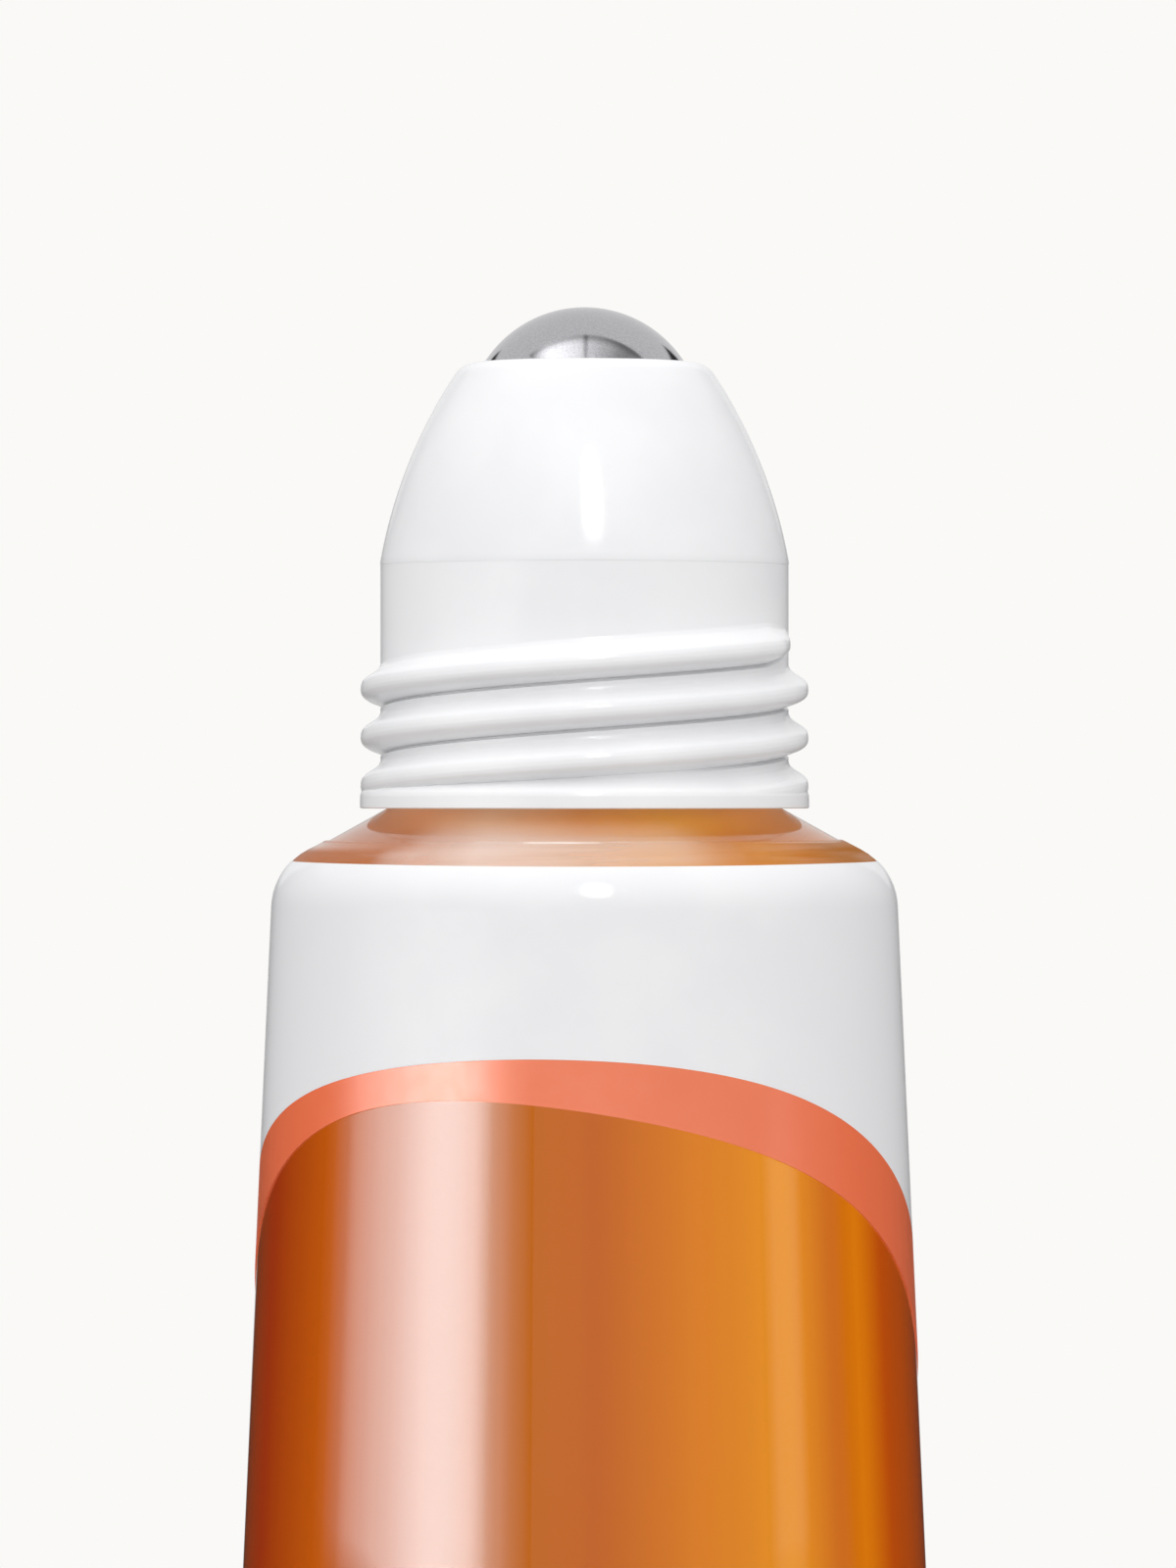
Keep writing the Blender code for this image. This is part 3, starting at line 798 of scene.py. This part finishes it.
NECK_FOOT_PAINTED_LIGHT = (
    (-64, (0.98, 0.42, 0.140, 1)),
    (-34, (0.99, 0.64, 0.400, 1)),
    (0, (0.94, 0.40, 0.080, 1)),
    (29, (0.99, 0.46, 0.020, 1)),
    (66, (0.99, 0.37, 0.012, 1)),
)
# How far the hazy painted reflection in front, the film on the left and the film on the right cover
# the shoulder
SLEEVE_COVERS = (
    (-125, (0.0, 0.0, 0.0, 1)),
    (-110, (0.0, 0.55, 0.0, 1)),
    (-54, (0.0, 0.55, 0.0, 1)),
    (-46, (0.05, 0.5, 0.0, 1)),
    (-38, (0.18, 0.1, 0.0, 1)),
    (-33, (0.24, 0.0, 0.0, 1)),
    (-22, (0.41, 0.0, 0.0, 1)),
    (0, (0.28, 0.0, 0.0, 1)),
    (21, (0.22, 0.0, 0.0, 1)),
    (30, (0.05, 0.0, 0.1, 1)),
    (36, (0.0, 0.0, 0.35, 1)),
    (48, (0.0, 0.0, 0.85, 1)),
    (62, (0.0, 0.0, 0.90, 1)),
    (110, (0.0, 0.0, 0.90, 1)),
    (125, (0.0, 0.0, 0.0, 1)),
)
# Sleeve colours by degrees from the front; the pale one in front is the colour of the painted
# reflection
SLEEVE_TINTS = (
    (-110, (0.38, 0.13, 0.05, 1)),
    (-46, (0.38, 0.13, 0.05, 1)),
    (-36, (0.92, 0.87, 0.84, 1)),
    (20, (0.92, 0.87, 0.83, 1)),
    (34, (0.60, 0.26, 0.02, 1)),
    (48, (0.47, 0.158, 0.019, 1)),
    (62, (0.36, 0.135, 0.03, 1)),
)
# How bright the painted highlight on the sleeve's cut edge is
SLEEVE_EDGE_PAINTED_GLINT = (
    (-90, 0.30),
    (-52, 0.25),
    (-44, 0.05),
    (-15, 0.05),
    (-12, 0.65),
    (-3, 0.70),
    (3, 0.45),
    (5, 0.08),
    (38, 0.04),
    (48, 0.20),
    (72, 0.20),
    (80, 0.0),
)
# Heights over the sleeve's edge between which the parts of its film set in, and the painted
# highlight on the cut edge lies
FILM_FADE = (0.00005, -0.00006)
LEFT_FILM_FADE = (-0.0002, -0.0005)
EDGE_LINE_HEAD = (0.00001, -0.00002)
EDGE_LINE_FOOT = (-0.00008, -0.00005)
# How much of the hazy painted reflection lies above the edge
PAINTED_HAZE_ABOVE_EDGE = 0.35

# How far round from the front, in radians, the inks go over to their side colour: painted shade,
# paler in front, the white darker and the coral more saturated towards the sides
INK_SHADE_TURNS = (0.3, 1.1)


def grey(level):
    return level, level, level, 1


def turn_of(nodes, place):
    """The turn about the axis from the front towards +X, in radians."""
    split = nodes.add("SeparateXYZ", {0: place})
    ahead = nodes.maths("MULTIPLY", split.outputs["Y"], -1)
    return nodes.maths("ARCTAN2", split.outputs["X"], ahead)


def azimuth_of(nodes, place):
    """How far round from the front a place or way lies, either way, in radians."""
    return nodes.maths("ABSOLUTE", turn_of(nodes, place))


def round_about(nodes, turn, table):
    """A colour that changes round the axis through a table of (degrees, colour)."""
    stops = [((degrees + 180) / 360, colour) for degrees, colour in table]
    return nodes.ramp(nodes.fit(turn, -math.pi, math.pi, smooth=False), stops)


def orange_oil():
    """Amber-orange oil with random darker streaks round the axis, and painted light and shade round
    it and up it.
    """
    made, nodes = new_material("orange_oil")
    place = nodes.add("TexCoord").outputs["Object"]
    turn = turn_of(nodes, place)
    streaks = nodes.add("TexNoise", {"Scale": 3.0, "Detail": 3, "W": turn}, noise_dimensions="1D")
    depth = nodes.fit(streaks.outputs["Fac"], *NOISE_SPAN, 0.0, 0.12)
    # Painted light and shade round the axis, darkened at random in streaks
    body_tint_with_painted_light = nodes.mix(depth, round_about(nodes, turn, OIL_TINTS_WITH_PAINTED_LIGHT), (0.40, 0.07, 0.004, 1))
    height = nodes.add("SeparateXYZ", {0: place}).outputs["Z"]
    # Painted light: the shoulder paler, the neck's foot bright where the flange shades it
    shoulder = round_about(nodes, turn, SHOULDER_PAINTED_LIGHT)
    painted_neck_foot_light = round_about(nodes, turn, NECK_FOOT_PAINTED_LIGHT)
    upper = nodes.mix(nodes.fit(height, *NECK_OIL_Z), shoulder, painted_neck_foot_light)
    colour = nodes.mix(nodes.fit(height, *SHOULDER_OIL_Z), body_tint_with_painted_light, upper)
    surface = nodes.add(
        "BsdfPrincipled",
        {
            "Base Color": colour,
            "Roughness": nodes.fit(nodes.noise(500), *NOISE_SPAN, 0.30, 0.40),
            "Specular IOR Level": 0.0,
        },
    )
    nodes.end(surface.outputs[0])
    return made


def sleeve_film():
    """The sleeve's film: a hazy painted reflection in front, tinted at the sides, creased, with a
    painted highlight on its cut edge.
    """
    made, nodes = new_material("sleeve_film")
    place = nodes.add("TexCoord").outputs["Object"]
    turn = turn_of(nodes, place)
    height = nodes.add("SeparateXYZ", {0: place}).outputs["Z"]
    edge_z = shoulder_z(SLEEVE_EDGE_RADIUS)

    def past(span):
        start, end = span
        return nodes.fit(height, edge_z + start, edge_z + end)

    flattened = nodes.add("Mapping", {"Vector": place, "Scale": (0.04, 0.04, 1.0)}).outputs[0]
    creases = nodes.noise(3600, place=flattened)
    film = past(FILM_FADE)
    # Painted reflection: faint above the sleeve's edge, full on the film below it
    painted_haze_above = nodes.fit(height, shoulder_z(HEM_TOP_RADIUS), edge_z, 0.0, PAINTED_HAZE_ABOVE_EDGE)
    painted_haze = nodes.maths("ADD", painted_haze_above, nodes.maths("MULTIPLY", film, 1 - PAINTED_HAZE_ABOVE_EDGE))
    reach = nodes.add("CombineXYZ", {0: painted_haze, 1: past(LEFT_FILM_FADE), 2: film}).outputs[0]
    covers = round_about(nodes, turn, SLEEVE_COVERS)
    cover = nodes.add("VectorMath", {0: covers, 1: reach}, operation="DOT_PRODUCT").outputs["Value"]
    creased = nodes.maths("MULTIPLY", cover, nodes.fit(creases, 0.25, 0.75, 0.88, 1.12))
    # Painted highlight: a thin bright band along the cut edge, as bright as the table gives by turn
    line = nodes.maths("MULTIPLY", past(EDGE_LINE_HEAD), past(EDGE_LINE_FOOT))
    shines = [(degrees, grey(level)) for degrees, level in SLEEVE_EDGE_PAINTED_GLINT]
    shine = nodes.maths("MULTIPLY", line, round_about(nodes, turn, shines))
    paleness = nodes.fit(creases, *NOISE_SPAN, 0.0, 0.1)
    tint = nodes.mix(paleness, round_about(nodes, turn, SLEEVE_TINTS), WHITE)
    surface = nodes.add(
        "BsdfPrincipled",
        {
            "Base Color": nodes.mix(shine, tint, (1.0, 0.98, 0.95, 1)),
            "Roughness": nodes.fit(creases, *NOISE_SPAN, 0.30, 0.40),
            "Specular IOR Level": 0.0,
            "Alpha": nodes.maths("MAXIMUM", creased, shine, clamp=True),
            "Normal": nodes.bump(creases, 0.000002, 0.3),
        },
    )
    nodes.end(surface.outputs[0])
    return made


def printed_ink(name, light, dark, side, rough, specular, peel):
    """Screen ink: faintly clouded, with fine orange peel and its own sheen, and painted shade from
    its front colour to its side colour.
    """
    made, nodes = new_material(name)
    place = nodes.add("TexCoord").outputs["Object"]
    clouds = nodes.noise(260, detail=3, place=place)
    shaded_side_share = nodes.fit(azimuth_of(nodes, place), *INK_SHADE_TURNS)
    front = nodes.mix(nodes.fit(clouds, *NOISE_SPAN), dark, light)
    surface = nodes.add(
        "BsdfPrincipled",
        {
            "Base Color": nodes.mix(shaded_side_share, front, side),
            "Roughness": nodes.fit(nodes.noise(1500), *NOISE_SPAN, *rough),
            "Specular IOR Level": specular,
            "Normal": nodes.bump(nodes.noise(2500, detail=1), peel),
        },
    )
    nodes.end(surface.outputs[0])
    return made


def white_plastic(name, light, dark):
    """White moulded plastic with faint turning marks from its mould."""
    made, nodes = new_material(name)
    place = nodes.add("TexCoord").outputs["Object"]
    clouds = nodes.noise(220, detail=3, place=place)
    stretched = nodes.add("Mapping", {"Vector": place, "Scale": (0.05, 0.05, 1.0)}).outputs[0]
    marks = nodes.noise(3500, detail=1, place=stretched)
    grain = nodes.noise(1500, detail=1, place=place)
    surface = nodes.add(
        "BsdfPrincipled",
        {
            "Base Color": nodes.mix(nodes.fit(clouds, *NOISE_SPAN), dark, light),
            "Roughness": nodes.fit(grain, *NOISE_SPAN, 0.10, 0.13),
            "Specular IOR Level": 0.03,
            "Normal": nodes.bump(marks, 0.000001, 0.5),
        },
    )
    nodes.end(surface.outputs[0])
    return made


def polished_steel():
    """Steel with the fine satin grain of a tumbled ball."""
    made, nodes = new_material("polished_steel")
    grain = nodes.noise(12000)
    dark = (0.53, 0.525, 0.55, 1)
    light = (0.61, 0.605, 0.63, 1)
    surface = nodes.add(
        "BsdfPrincipled",
        {
            "Base Color": nodes.mix(nodes.fit(grain, *NOISE_SPAN), dark, light),
            "Metallic": 1.0,
            "Roughness": nodes.fit(nodes.noise(1200), *NOISE_SPAN, 0.09, 0.12),
            "Normal": nodes.bump(grain, 0.0000004, 0.5),
        },
    )
    nodes.end(surface.outputs[0])
    return made


def plain_moulding(name, light, dark, metallic=0.0, rough=(0.35, 0.5)):
    """Hidden mouldings and wire."""
    made, nodes = new_material(name)
    surface = nodes.add(
        "BsdfPrincipled",
        {
            "Base Color": nodes.mix(nodes.fit(nodes.noise(700), *NOISE_SPAN), dark, light),
            "Metallic": metallic,
            "Roughness": nodes.fit(nodes.noise(3000), *NOISE_SPAN, *rough),
            "Normal": nodes.bump(nodes.noise(5000), 0.000004),
        },
    )
    nodes.end(surface.outputs[0])
    return made


# Stage


def no_bounce(nodes, path, kind):
    """1 for light that has had no bounce of this kind before, otherwise 0."""
    return nodes.fit(path.outputs[kind + " Depth"], 0.4, 0.6, 1.0, 0.0, smooth=False)


def room_glow(nodes, azimuth):
    """What reflections show of the room at eye level: light in front, dark sides, pale behind."""
    stops = [(degrees / 180, grey(glow)) for degrees, glow in ROOM_AT_EYE_LEVEL]
    return nodes.ramp(nodes.maths("DIVIDE", azimuth, math.pi), stops)


def floor_material():
    """A pale floor that keeps shadows near the object and goes over to the backdrop further off."""
    made, nodes = new_material("floor")
    path = nodes.add("LightPath")
    straight = no_bounce(nodes, path, "Diffuse")
    direct = no_bounce(nodes, path, "Glossy")
    clear = nodes.maths("ADD", path.outputs["Is Camera Ray"], path.outputs["Is Transmission Ray"])
    seen = nodes.maths("MULTIPLY", clear, nodes.maths("MULTIPLY", straight, direct))
    mirrored = nodes.maths("MULTIPLY", straight, nodes.maths("SUBTRACT", 1.0, direct))
    place = nodes.add("TexCoord").outputs["Object"]
    glow = room_glow(nodes, azimuth_of(nodes, place))
    away = nodes.add("VectorMath", {0: place}, operation="LENGTH").outputs["Value"]
    far = nodes.fit(away, *FLOOR_FADE)
    clouds = nodes.mix(nodes.noise(40), (0.84, 0.83, 0.815, 1), (0.87, 0.86, 0.845, 1))
    shade = nodes.mix(path.outputs["Is Diffuse Ray"], clouds, grey(FLOOR_BOUNCE))
    matte = nodes.add("BsdfDiffuse", {"Color": shade})
    strength = nodes.maths("ADD", seen, nodes.maths("MULTIPLY", mirrored, glow))
    light = nodes.add("Emission", {"Color": BACKDROP, "Strength": strength})
    share = nodes.maths("MULTIPLY", nodes.maths("ADD", seen, mirrored, clamp=True), far)
    mixed = nodes.add("MixShader", {"Fac": share, 1: matte.outputs[0], 2: light.outputs[0]})
    nodes.end(mixed.outputs[0])
    return made


def build_floor():
    bm = bmesh.new()
    rings = [ring_at(bm, radius, 0, FLOOR_SEGMENTS) for radius in FLOOR_RINGS]
    for first, second in zip(rings, rings[1:]):
        bridge(bm, first, second)
    floor = mesh_object("floor", bm)
    floor.data.materials.append(floor_material())


def build_reflector(name, place, glow):
    """A sheet that shows only in reflections. place and glow take its two shares, across and up."""
    bm = bmesh.new()
    layer = bm.verts.layers.float.new("glow")
    lines = []
    for column in range(CARD_STEPS + 1):
        line = []
        for row in range(CARD_ROWS + 1):
            across = column / CARD_STEPS
            up = row / CARD_ROWS
            vert = bm.verts.new(place(across, up))
            vert[layer] = glow(across, up)
            line.append(vert)
        lines.append(line)
    for first, second in zip(lines, lines[1:]):
        for index in range(CARD_ROWS):
            bm.faces.new((first[index], second[index], second[index + 1], first[index + 1]))
    sheet = mesh_object(name, bm)
    made, nodes = new_material(name)
    strength = nodes.add("Attribute", attribute_name="glow").outputs["Fac"]
    emission = nodes.add("Emission", {"Color": WHITE, "Strength": strength})
    nodes.end(emission.outputs[0])
    sheet.data.materials.append(made)
    sheet.visible_camera = False
    sheet.visible_diffuse = False
    sheet.visible_transmission = False
    sheet.visible_shadow = False
    sheet.visible_volume_scatter = False


def build_card(name, glow_at, elevations, distance, soft_foot, soft_head):
    """A curved upright reflector. glow_at lists (azimuth in degrees, strength) from end to end."""
    azimuths = np.radians([azimuth for azimuth, strength in glow_at])
    strengths = [strength for azimuth, strength in glow_at]
    low, high = np.radians(elevations)

    def place(across, up):
        azimuth = azimuths[0] + (azimuths[-1] - azimuths[0]) * across
        elevation = low + (high - low) * up
        height = LIGHT_CENTRE_Z + distance * math.sin(elevation)
        return around(distance * math.cos(elevation), azimuth, height)

    def glow(across, up):
        azimuth = azimuths[0] + (azimuths[-1] - azimuths[0]) * across
        edge = min(up / soft_foot, (1 - up) / soft_head, 1)
        return float(np.interp(azimuth, azimuths, strengths)) * edge**2

    build_reflector(name, place, glow)


def build_panel(name, glow_at):
    """A flat reflector overhead. glow_at lists (x, strength) from end to end."""
    places, strengths = zip(*glow_at)
    depths, gains = zip(*TOP_FAR_GAINS)

    def place(across, up):
        x = places[0] + (places[-1] - places[0]) * across
        return x, TOP_PANEL_NEAR + (depths[-1] - TOP_PANEL_NEAR) * up, TOP_PANEL_Z

    def glow(across, up):
        x, y, z = place(across, up)
        return float(np.interp(x, places, strengths) * np.interp(y, depths, gains))

    build_reflector(name, place, glow)


def build_lamp(name, azimuth, elevation, power):
    """A soft square lamp that points at the bottle and shows in no reflection."""
    data = bpy.data.lights.new(name, "AREA")
    data.shape = "SQUARE"
    data.size = LAMP_SIZE
    data.energy = power
    lamp = bpy.data.objects.new(name, data)
    bpy.context.scene.collection.objects.link(lamp)
    turn = math.radians(azimuth)
    lift = math.radians(elevation)
    height = LIGHT_CENTRE_Z + LAMP_DISTANCE * math.sin(lift)
    lamp.location = around(LAMP_DISTANCE * math.cos(lift), turn, height)
    lamp.rotation_euler = (math.pi / 2 - lift, 0, turn)
    lamp.visible_camera = False
    lamp.visible_glossy = False
    lamp.visible_transmission = False


def build_world():
    """A white backdrop for the camera, soft light all round and a front-lit room in reflections."""
    world = bpy.data.worlds.new("studio")
    bpy.context.scene.world = world
    world.use_nodes = True
    nodes = Nodes(world.node_tree)
    path = nodes.add("LightPath")
    mirrored = nodes.maths("SUBTRACT", 1.0, no_bounce(nodes, path, "Glossy"))
    straight = no_bounce(nodes, path, "Diffuse")
    refracted = nodes.maths("MULTIPLY", path.outputs["Is Transmission Ray"], straight)
    inner_gloss = nodes.maths("MULTIPLY", refracted, mirrored)
    through = nodes.maths("SUBTRACT", refracted, inner_gloss)
    seen = nodes.maths("ADD", path.outputs["Is Camera Ray"], through, clamp=True)
    gloss = nodes.maths("ADD", path.outputs["Is Glossy Ray"], inner_gloss, clamp=True)
    sky = nodes.add("TexCoord").outputs["Generated"]
    way = nodes.add("SeparateXYZ", {0: sky})
    azimuth = azimuth_of(nodes, sky)
    across = nodes.fit(way.outputs["X"], *CEILING_SIDES, *CEILING_FOOT)
    foot = nodes.fit(azimuth, *CEILING_BACK, across, CEILING_BACK_FOOT)
    above = nodes.fit(nodes.maths("SUBTRACT", way.outputs["Z"], foot), 0.0, CEILING_FADE)
    eye_level = room_glow(nodes, azimuth)
    room = nodes.maths("MAXIMUM", eye_level, nodes.maths("MULTIPLY", above, CEILING_GLOW))
    front = nodes.fit(way.outputs["Y"], *AMBIENT_SPAN, AMBIENT_FRONT, AMBIENT_BACK)
    top = nodes.maths("MULTIPLY", nodes.maths("MAXIMUM", way.outputs["Z"], 0.0), AMBIENT_TOP)
    ambient = nodes.maths("ADD", front, top)
    strength = nodes.add("Mix", {0: gloss, 2: ambient, 3: room}, data_type="FLOAT")
    light = nodes.add("Background", {"Color": WHITE, "Strength": strength.outputs[0]})
    backdrop = nodes.add("Background", {"Color": BACKDROP, "Strength": 1.0})
    mixed = nodes.add("MixShader", {"Fac": seen, 1: light.outputs[0], 2: backdrop.outputs[0]})
    nodes.end(mixed.outputs[0], "OutputWorld")


def build_camera():
    data = bpy.data.cameras.new("camera")
    data.lens = CAMERA_LENS
    data.sensor_fit = "VERTICAL"
    data.sensor_height = CAMERA_SENSOR
    data.clip_start, data.clip_end = CAMERA_CLIP
    camera = bpy.data.objects.new("camera", data)
    bpy.context.scene.collection.objects.link(camera)
    camera.location = CAMERA_AT
    camera.rotation_euler = (math.pi / 2, 0, 0)
    bpy.context.scene.camera = camera


# The whole scene


def paint(piece, material):
    piece.data.materials.clear()
    piece.data.materials.append(material)


def dress(piece, material, body, slot, *nodes):
    """Gives a piece its finish and its body, and hides the frame's nodes that it stands for. slot
    is not used.
    """
    paint(piece, material)
    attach(piece, body)
    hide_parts(*nodes)


def dress_bottle():
    """The clear bottle, its oil and its printed sleeve."""
    dress(build_shell(), clear_plastic(), "bottle", "clear_plastic", "bottle_body")
    dress(build_oil(), orange_oil(), "bottle", "orange_oil", "oil_fill")
    # Each ink's side colour is painted shade: the white a little darker, the coral more saturated
    # than in front
    white_ink = printed_ink(
        "white_ink",
        light=(0.84, 0.84, 0.85, 1),
        dark=(0.81, 0.81, 0.825, 1),
        side=(0.81, 0.81, 0.825, 1),
        rough=(0.10, 0.14),
        specular=0.03,
        peel=0.000001,
    )
    coral_ink = printed_ink(
        "coral_ink",
        light=(0.86, 0.215, 0.105, 1),
        dark=(0.84, 0.205, 0.098, 1),
        side=(0.89, 0.175, 0.070, 1),
        rough=(0.19, 0.25),
        specular=0.5,
        peel=0.000001,
    )
    field = build_white_field()
    stripe = build_stripe()
    hem = build_hem()
    dress(field, white_ink, "bottle", "white_ink", "white_print")
    dress(stripe, coral_ink, "bottle", "coral_ink", "coral_stripe")
    dress(hem, sleeve_film(), "bottle", "clear_plastic")
    for skin in (field, stripe, hem):
        skin.visible_shadow = False
        skin.visible_diffuse = False
        skin.visible_transmission = False


def dress_fitment():
    """The collar, the dome and the ball, with what lies under the ball."""
    collar_white = white_plastic(
        "collar_white",
        light=(0.87, 0.87, 0.88, 1),
        dark=(0.835, 0.835, 0.85, 1),
    )
    # Painted shade: the dome's white is a little darker than the collar's, against the extra light
    # on its upward faces
    dome_white_painted_darker = white_plastic(
        "dome_white_painted_darker",
        light=(0.85, 0.85, 0.862, 1),
        dark=(0.817, 0.817, 0.832, 1),
    )
    low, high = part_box("roller_ball")
    ball_z = (low.z + high.z) / 2
    ball_radius = (high.z - low.z) / 2
    dress(build_collar(), collar_white, "bottle", "white_plastic", "threaded_collar")
    dome = build_dome(ball_z, ball_radius)
    dress(dome, dome_white_painted_darker, "bottle", "white_plastic", "roller_dome")
    ball = build_ball(ball_z, ball_radius)
    dress(ball, polished_steel(), "ball", "polished_steel", "roller_ball")

    natural = plain_moulding(
        "natural_plastic",
        light=(0.80, 0.80, 0.77, 1),
        dark=(0.76, 0.76, 0.73, 1),
    )
    for name in ("ball_seat", "flow_plate", "sealing_washer"):
        paint(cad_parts[name], natural)
    wire = plain_moulding(
        "spring_wire",
        light=(0.52, 0.52, 0.54, 1),
        dark=(0.46, 0.46, 0.48, 1),
        metallic=1.0,
        rough=(0.2, 0.3),
    )
    low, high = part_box("seat_spring")
    spring = build_spring(low.z, high.z)
    dress(spring, wire, "bottle", "spring_wire", "seat_spring")
    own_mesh(spring)


def build_light():
    for lamp in LAMPS:
        build_lamp(*lamp)
    for card in CARDS:
        build_card(*card)
    build_panel("top_left_panel", TOP_LEFT_GLOW)
    build_panel("top_right_panel", TOP_RIGHT_GLOW)


bpy.context.scene.view_settings.view_transform = "Standard"
build_camera()
build_world()
build_floor()
dress_bottle()
dress_fitment()
build_light()
